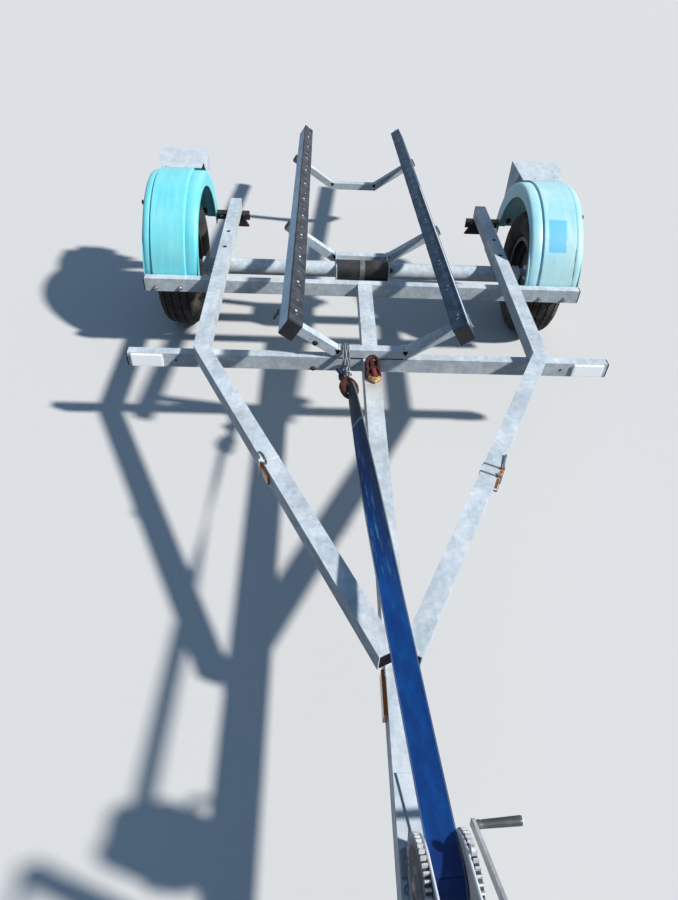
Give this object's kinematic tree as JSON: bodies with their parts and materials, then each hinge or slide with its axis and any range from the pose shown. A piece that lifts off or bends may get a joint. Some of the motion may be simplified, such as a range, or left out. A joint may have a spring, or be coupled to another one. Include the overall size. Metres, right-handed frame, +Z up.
{
  "type": "small boat trailer with winch and jockey wheel",
  "caption": "Low boat trailer: V drawbar frame of steel tube, long tilted bunks on bent cradles, moulded mudguards, hand winch with webbing and a jockey wheel.",
  "frame": {"origin": "middle of the trailer's footprint, on the ground", "axes": "X to the right, Y towards the rear, Z up; the coupling points to -Y"},
  "size_m": [1.636, 3.8332, 0.721],
  "materials": {
    "amber_reflector": "amber reflex lens",
    "black_plastic": "black plastic",
    "black_rubber": "black rubber",
    "bunk_rubber": "weathered dark rubber",
    "dark_steel": "weathered dark steel",
    "galvanised_steel": "hot-dip galvanised, dull and mottled",
    "red_lens": "red lens",
    "rope": "grey braided rope",
    "rusty_steel": "rusted steel",
    "sky_blue_plastic": "faded moulded plastic",
    "tyre_rubber": "dusty black tyre rubber",
    "webbing": "dark blue woven webbing",
    "wheel_rim": "silver grey painted steel",
    "white_reflector": "white reflex lens",
    "zinc_steel": "zinc plated, dulled with brown spots"
  },
  "bodies": {
    "frame": {"drawbar": "galvanised_steel", "front_crossbeam": "galvanised_steel", "rear_crossbeam": "galvanised_steel", "axle_tube": "galvanised_steel", "axle_plates": "galvanised_steel", "left_rail": "galvanised_steel", "right_rail": "galvanised_steel", "front_cradle": "galvanised_steel", "middle_cradle": "galvanised_steel", "rear_cradle": "galvanised_steel", "left_swing_arm": "galvanised_steel", "right_swing_arm": "galvanised_steel", "left_mudguard": "sky_blue_plastic", "right_mudguard": "sky_blue_plastic", "left_bunk": "bunk_rubber", "right_bunk": "bunk_rubber", "saddle_bracket": "galvanised_steel", "saddle_rubber": "black_rubber", "guard_stays": "galvanised_steel", "lamp_brackets": "galvanised_steel", "rear_lamps": "red_lens", "triangle_reflectors": "red_lens", "front_reflectors": "white_reflector", "amber_reflectors": "amber_reflector", "tube_plugs": "black_plastic", "lock_shackle": "rusty_steel", "winch_post": "dark_steel", "winch_frame": "zinc_steel", "winch_drum": "zinc_steel", "winch_crank": "zinc_steel", "crank_grip": "black_plastic", "winch_strap": "webbing", "strap_hook": "rusty_steel", "cradle_rope": "rope", "coupling_head": "zinc_steel", "coupling_handle": "zinc_steel", "jockey_clamp": "galvanised_steel", "jockey_tube": "galvanised_steel", "jockey_handle": "zinc_steel"},
    "left_wheel": {"left_tyre": "tyre_rubber", "left_rim": "wheel_rim", "left_hub": "zinc_steel"},
    "right_wheel": {"right_tyre": "tyre_rubber", "right_rim": "wheel_rim", "right_hub": "zinc_steel"},
    "jockey_leg": {"jockey_leg": "zinc_steel"},
    "jockey_fork": {"jockey_fork": "zinc_steel"},
    "jockey_wheel": {"jockey_rim": "zinc_steel", "jockey_tyre": "black_rubber"}
  },
  "joints": [
    {"name": "left_wheel_spin", "type": "hinge", "parent": "frame", "child": "left_wheel", "pos_m": [-0.715, 0.6339, 0.243], "axis": [1, 0, 0], "continuous": true},
    {"name": "right_wheel_spin", "type": "hinge", "parent": "frame", "child": "right_wheel", "pos_m": [0.715, 0.6339, 0.243], "axis": [1, 0, 0], "continuous": true},
    {"name": "jockey_slide", "type": "slide", "parent": "frame", "child": "jockey_leg", "axis": [0, 0, 1], "range_m": [-0.16, 0.05]},
    {"name": "jockey_swivel", "type": "hinge", "parent": "jockey_leg", "child": "jockey_fork", "pos_m": [-0.055, -1.6981, 0.2], "axis": [0, 0, 1], "continuous": true},
    {"name": "jockey_wheel_spin", "type": "hinge", "parent": "jockey_fork", "child": "jockey_wheel", "pos_m": [-0.055, -1.6581, 0.1], "axis": [1, 0, 0], "continuous": true}
  ]
}
